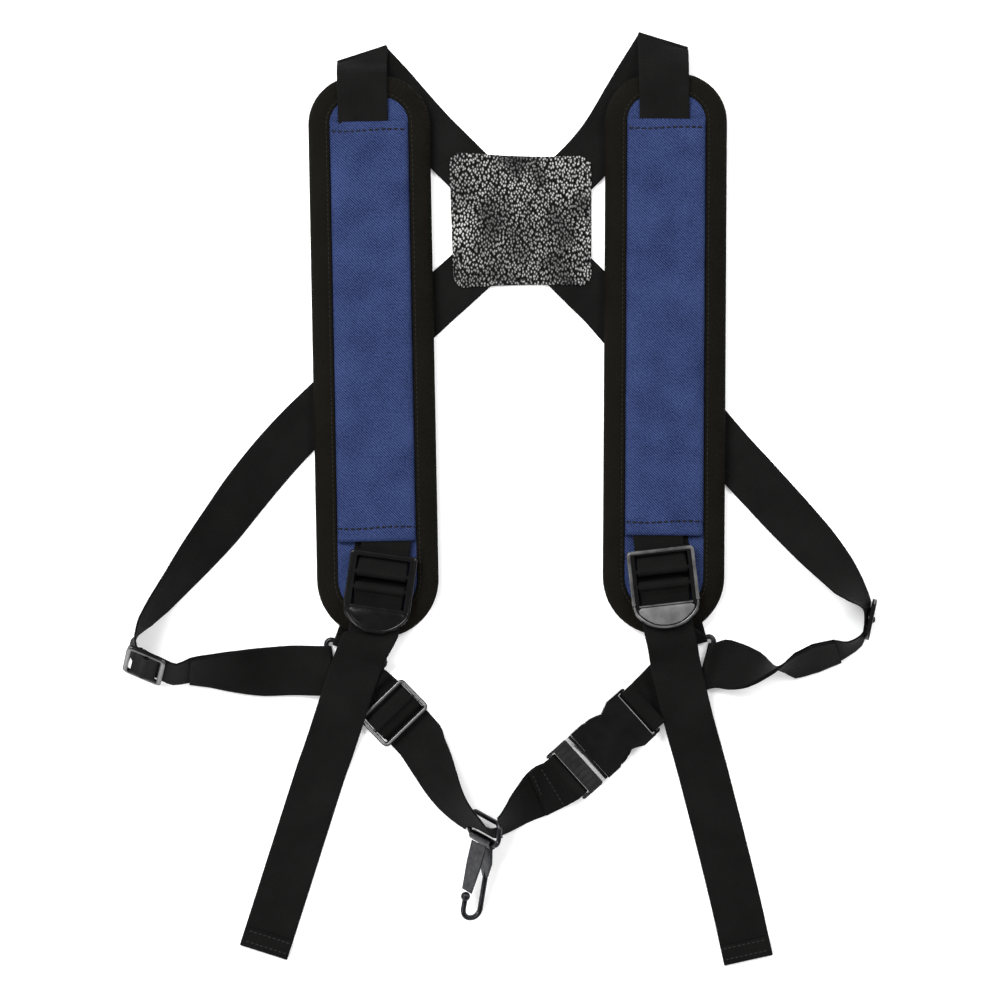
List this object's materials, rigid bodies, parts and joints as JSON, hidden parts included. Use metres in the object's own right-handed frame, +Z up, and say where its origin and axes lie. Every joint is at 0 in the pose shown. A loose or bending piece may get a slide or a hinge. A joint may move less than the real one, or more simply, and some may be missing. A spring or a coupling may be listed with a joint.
{
  "type": "saxophone harness",
  "caption": "Padded double-shoulder saxophone harness with crossed webbing straps, leather back patch, adjusters, side-release buckle and snap hook.",
  "frame": {"origin": "middle of the bounding box's lower face, with the harness laid flat on a table", "axes": "+Y towards the shoulder and back end, +X towards the harness's right side as laid, +Z up from the table"},
  "size_m": [0.4842, 0.6002, 0.0389],
  "materials": {
    "blue_cloth": "matt twill weave",
    "binding_tape": "matt grosgrain tape",
    "backing_mesh": "open spacer mesh",
    "foam": "closed-cell foam",
    "patch_leather": "pebbled, slight gloss",
    "buckle_plastic": "satin moulded",
    "hook_steel": "black nickel plate",
    "webbing": "matt woven webbing"
  },
  "bodies": {
    "harness": {"pad_binding_left": "binding_tape", "pad_backing_left": "backing_mesh", "pad_foam_left": "foam", "pad_face_left": "blue_cloth", "pad_sleeve_left": "blue_cloth", "delta_ring_left": "hook_steel", "anchor_tongue_left": "webbing", "adjuster_load_left": "webbing", "shoulder_strap_left": "webbing", "pad_binding_right": "binding_tape", "pad_backing_right": "backing_mesh", "pad_foam_right": "foam", "pad_face_right": "blue_cloth", "pad_sleeve_right": "blue_cloth", "delta_ring_right": "hook_steel", "anchor_tongue_right": "webbing", "adjuster_load_right": "webbing", "shoulder_strap_right": "webbing", "adjuster_tail_left": "webbing", "adjuster_tail_right": "webbing", "patch_under": "patch_leather", "patch_top": "patch_leather", "front_strap": "webbing", "buckle_webbing": "webbing", "buckle_socket": "buckle_plastic", "buckle_latch": "buckle_plastic", "hook_eye": "hook_steel"},
    "ladder_lock_left": {"ladder_lock_left": "buckle_plastic", "anchor_loop_left": "webbing", "adjuster_bight_left": "webbing"},
    "ladder_lock_right": {"ladder_lock_right": "buckle_plastic", "anchor_loop_right": "webbing", "adjuster_bight_right": "webbing"},
    "slider_left": {"slider_left": "buckle_plastic", "slider_bight_left": "webbing"},
    "slider_right": {"slider_right": "buckle_plastic", "slider_bight_right": "webbing"},
    "slider_front": {"slider_front": "buckle_plastic", "slider_bight_front": "webbing"},
    "buckle_arm_upper": {"buckle_arm_upper": "buckle_plastic"},
    "buckle_arm_lower": {"buckle_arm_lower": "buckle_plastic"},
    "hook": {"hook_body": "hook_steel"},
    "hook_gate": {"hook_gate": "hook_steel"}
  },
  "joints": [
    {"name": "ladder_lock_left_lift", "type": "hinge", "parent": "harness", "child": "ladder_lock_left", "pos_m": [-0.07254, -0.02799, 0.0129], "axis": [-1, 0, 0], "range_deg": [0, 35]},
    {"name": "ladder_lock_right_lift", "type": "hinge", "parent": "harness", "child": "ladder_lock_right", "pos_m": [0.10136, -0.02447, 0.0129], "axis": [-1, 0, 0], "range_deg": [0, 35]},
    {"name": "slider_left_slide", "type": "slide", "parent": "harness", "child": "slider_left", "axis": [0.9205, -0.3907, 0], "range_m": [0, 0.003]},
    {"name": "slider_right_slide", "type": "slide", "parent": "harness", "child": "slider_right", "axis": [-0.2079, -0.9781, 0], "range_m": [-0.002, 0.0025]},
    {"name": "slider_front_slide", "type": "slide", "parent": "harness", "child": "slider_front", "axis": [0.6947, -0.7193, 0], "range_m": [-0.001, 0.009]},
    {"name": "buckle_arm_upper_squeeze", "type": "hinge", "parent": "harness", "child": "buckle_arm_upper", "pos_m": [0.04828, -0.1542, 0.0064], "axis": [0, 0, 1], "range_deg": [-6, 0], "stiffness_Nm_per_rad": 0.5},
    {"name": "buckle_arm_lower_squeeze", "type": "hinge", "parent": "harness", "child": "buckle_arm_lower", "pos_m": [0.06702, -0.17501, 0.0064], "axis": [0, 0, 1], "range_deg": [0, 6], "stiffness_Nm_per_rad": 0.5},
    {"name": "hook_swing", "type": "hinge", "parent": "harness", "child": "hook", "pos_m": [-0.01072, -0.21743, 0.01625], "axis": [0.5318, -0.2149, 0.8192], "range_deg": [-60, 0]},
    {"name": "hook_gate_spring", "type": "hinge", "parent": "hook", "child": "hook_gate", "pos_m": [-0.01314, -0.21996, 0.01715], "axis": [0.5318, -0.2149, 0.8192], "range_deg": [0, 18], "stiffness_Nm_per_rad": 0.3}
  ],
  "couplings": [
    {"joint": "buckle_arm_lower_squeeze", "follows": "buckle_arm_upper_squeeze", "ratio": -1}
  ]
}
